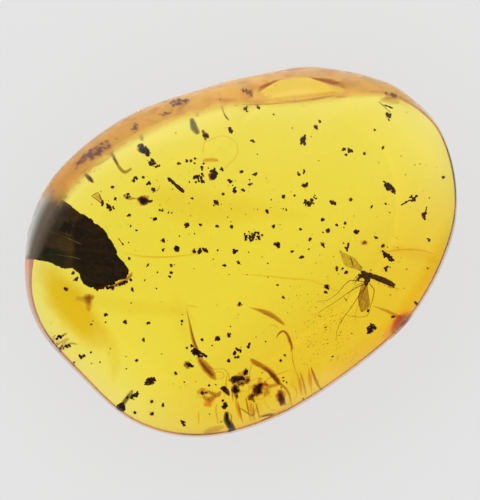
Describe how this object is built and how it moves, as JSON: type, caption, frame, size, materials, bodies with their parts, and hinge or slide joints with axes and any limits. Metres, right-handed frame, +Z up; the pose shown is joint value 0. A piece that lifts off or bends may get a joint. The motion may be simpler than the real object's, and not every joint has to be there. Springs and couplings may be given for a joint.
{
  "type": "insect in amber",
  "caption": "Polished golden amber lump with a flat back and a low domed top, with a long-legged gnat and plant debris sealed inside.",
  "frame": {"origin": "centre of the bounding box, on the flat back that the piece lies on", "axes": "+Z up out of the domed top, +X along the longest side towards the thin right end, +Y towards the broad sloped edge"},
  "size_m": [0.031, 0.0266, 0.0074],
  "materials": {
    "amber": "clear golden fossil resin, hand polished, with a soft gloss",
    "gnat": "dark brown chitin, with thin brownish wings",
    "plant_debris": "dark carbonised plant tissue, fibrous, matt",
    "veil": "thin golden-brown flow veils, cracks and bubble skins inside the resin"
  },
  "bodies": {
    "root": {"amber": "amber"}
  },
  "joints": []
}
